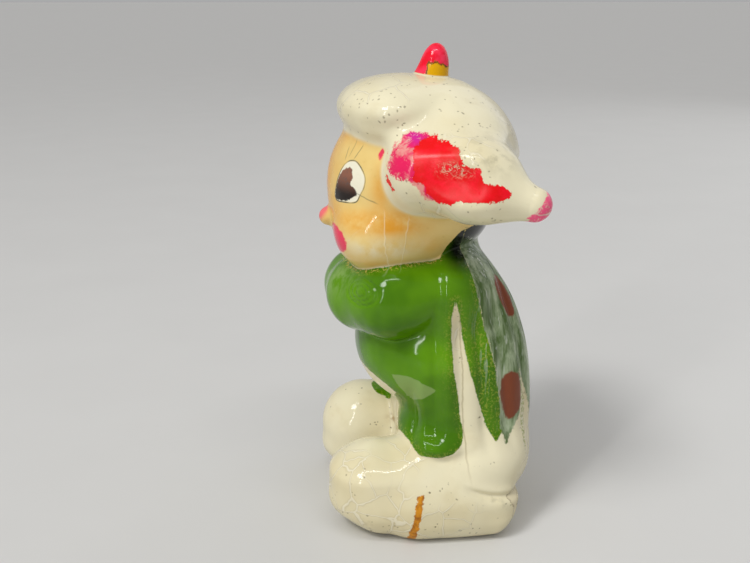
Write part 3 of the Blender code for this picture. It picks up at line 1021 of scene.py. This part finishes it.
CORK_RIM = 0.7  # radius of the rounded rims
CORK_TAPER = 0.6  # how much narrower the cork's top is
CORK_GRAIN = 0.06  # how far the grain may stand out
CORK_TURN = 72  # corners round the cork
CORK_RISE = 26  # rings up its side
CORK_END_RINGS = 6


def cork_profile():
    """The radius and height of every ring round the cork, from its foot to its top, with rounded rims."""
    height = plug_high[2] - plug_low[2]
    heights = height * (0.5 - 0.5 * np.cos(np.linspace(0, math.pi, CORK_RISE)))
    over_rim = np.maximum(CORK_RIM - np.minimum(heights, height - heights), 0)
    inset = CORK_RIM - np.sqrt(CORK_RIM**2 - over_rim**2)
    radii = PLUG_RADIUS - CORK_TAPER * heights / height - inset - CORK_GRAIN
    across_end = np.arange(1, CORK_END_RINGS) / CORK_END_RINGS
    radii = np.concatenate([across_end * radii[0], radii, across_end[::-1] * radii[-1]])
    levels = np.concatenate([np.zeros(len(across_end)), heights, np.full(len(across_end), height)])
    return radii, levels + plug_low[2]


def cork_corners(radii, levels):
    """The rings' corners, with the uneven grain of cut cork, then the middles of the two ends."""
    turn = np.linspace(0, 2 * math.pi, CORK_TURN, endpoint=False)
    grain = np.random.default_rng(7).normal(0, 0.03, (len(radii), CORK_TURN))
    grain = (grain + np.roll(grain, 1, 1) + np.roll(grain, -1, 1)) / 2
    wide = radii[:, None] + np.minimum(grain, CORK_GRAIN)
    rings = np.stack([wide * np.cos(turn), wide * np.sin(turn), np.tile(levels[:, None], CORK_TURN)], -1)
    ends = [[0, 0, levels[0]], [0, 0, levels[-1]]]
    return np.concatenate([rings.reshape(-1, 3), ends]) + (PLUG_MIDDLE[0], HOLE_BACK, 0)


def cork_faces(ring_count):
    k = np.arange(CORK_TURN)
    after = (k + 1) % CORK_TURN
    faces = []
    for ring in range(ring_count - 1):
        low, high = ring * CORK_TURN, (ring + 1) * CORK_TURN
        faces += np.stack([low + k, low + after, high + after, high + k], 1).tolist()
    top = (ring_count - 1) * CORK_TURN
    foot_middle = ring_count * CORK_TURN
    faces += [[foot_middle, b, a] for a, b in zip(k.tolist(), after.tolist())]
    faces += [[foot_middle + 1, top + a, top + b] for a, b in zip(k.tolist(), after.tolist())]
    return faces


def make_stopper():
    """A turned cork, a little narrower at the top."""
    radii, levels = cork_profile()
    mesh = bpy.data.meshes.new("cork_stopper")
    mesh.from_pydata((cork_corners(radii, levels) + ORIGIN) * MM, [], cork_faces(len(radii)))
    mesh.shade_smooth()
    mesh.materials.append(cork())
    piece = added("cork_stopper", mesh)
    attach(piece, "plug")
    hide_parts("stopper")


# ---------------------------------------------------------------- the studio, in metres

CAMERA_PLACE = (0.1727, -0.0274, 0.097)
CAMERA_TURN = 84.0  # degrees from looking along +Y
CAMERA_DROP = 16.75  # degrees below level
CAMERA_LENS = 45.36
LIGHT_AIM = (0, 0, 0.045)
FLOOR_SIDE = 40.0


def make_floor():
    mesh = bpy.data.meshes.new("floor")
    half = FLOOR_SIDE / 2
    corners = [(-half, -half, 0), (half, -half, 0), (half, half, 0), (-half, half, 0)]
    mesh.from_pydata(corners, [], [(0, 1, 2, 3)])
    floor = added("floor", mesh)
    s = Shader("pale_floor")
    s.give("Base Color", s.mix(s.noise(30, 3), "#CAC9C6", "#CFCECB"))
    s.give("Roughness", 0.55)
    mesh.materials.append(s.material)


def hang(name, light, place):
    """Puts a light at a place, aimed at the middle of the figure."""
    lamp = added(name, light)
    lamp.location = place
    lamp.rotation_euler = (Vector(LIGHT_AIM) - Vector(place)).to_track_quat("-Z", "Y").to_euler()


def make_panel(name, place, size, power, colour=(1, 1, 1)):
    light = bpy.data.lights.new(name, "AREA")
    light.shape = "RECTANGLE"
    light.size, light.size_y = size
    light.energy = power
    light.color = colour
    hang(name, light, place)


def make_sun(name, place, strength, width):
    """A sun whose disc is that many degrees wide, so that the whole floor is lit evenly."""
    light = bpy.data.lights.new(name, "SUN")
    light.energy = strength
    light.angle = math.radians(width)
    hang(name, light, place)


def make_lights():
    make_sun("soft_key", (0.26, -0.34, 0.60), 1.3, 16)
    make_panel("front_strip", (0.55, -0.50, 0.34), (0.03, 0.44), 1.15)
    make_panel("top_strip", (0.19, -0.02, 0.58), (0.50, 0.02), 0.85)
    make_panel("back_fill", (-0.35, 0.45, 0.40), (0.6, 0.6), 0.6, (0.95, 0.97, 1))
    world = bpy.data.worlds.new("studio")
    world.use_nodes = True
    world.node_tree.nodes["Background"].inputs["Color"].default_value = (0.72, 0.72, 0.73, 1)
    world.node_tree.nodes["Background"].inputs["Strength"].default_value = 0.55
    bpy.context.scene.world = world


def make_camera():
    data = bpy.data.cameras.new("camera")
    data.sensor_width = 36
    data.lens = CAMERA_LENS
    data.clip_start = 0.01
    camera = added("camera", data)
    camera.location = CAMERA_PLACE
    camera.rotation_euler = (math.radians(90 - CAMERA_DROP), 0, math.radians(CAMERA_TURN))
    bpy.context.scene.camera = camera
    bpy.context.scene.view_settings.view_transform = "Standard"


make_camera()
make_casting()
make_stopper()
make_floor()
make_lights()
